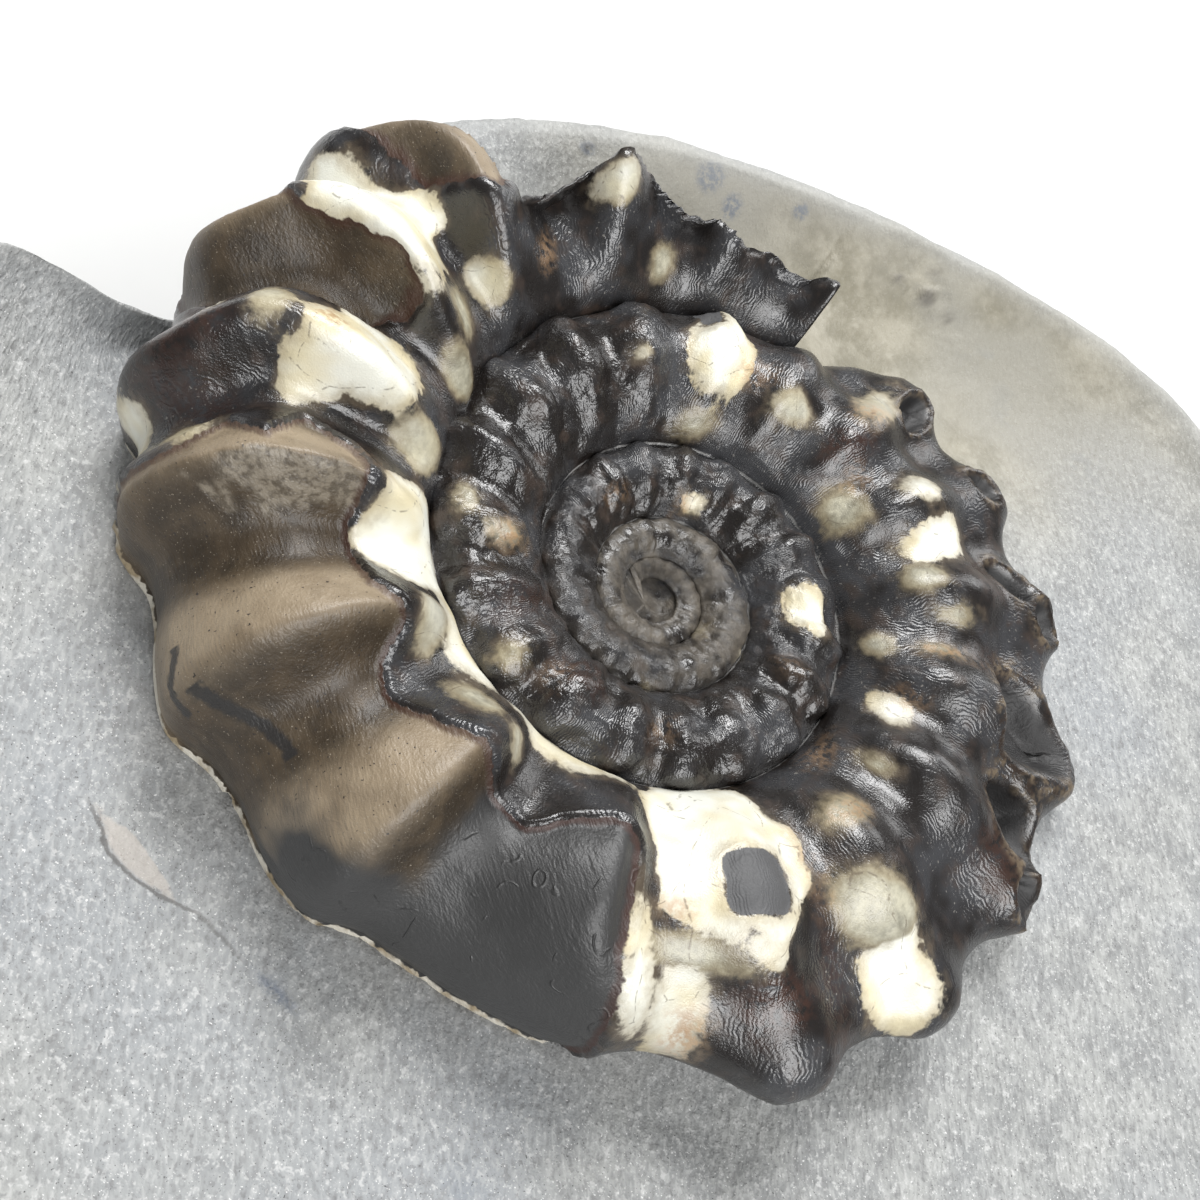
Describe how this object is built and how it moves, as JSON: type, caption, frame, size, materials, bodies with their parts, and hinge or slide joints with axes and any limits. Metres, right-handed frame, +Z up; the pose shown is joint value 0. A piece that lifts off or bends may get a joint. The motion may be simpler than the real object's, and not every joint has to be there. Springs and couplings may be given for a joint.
{
  "type": "ammonite fossil in stone nodule",
  "caption": "Coiled ribbed ammonite fossil with broken spines, lying half sunk in the hollowed top of its loose grey limestone nodule.",
  "frame": {"origin": "centre of the bounding box on the flat underside of the nodule", "axes": "+Z up out of the dish along the ammonite's coiling axis, +Y away from the body chamber's near side towards the broken end of the last whorl, +X to the right"},
  "size_m": [0.0794, 0.0838, 0.0319],
  "materials": {
    "shell": "polished dark brown calcite shell with cream patches over a satin brown stone filling",
    "limestone": "matt fine-grained grey limestone with faint tool striations"
  },
  "bodies": {
    "root": {"ammonite": "shell", "matrix": "limestone"}
  },
  "joints": []
}
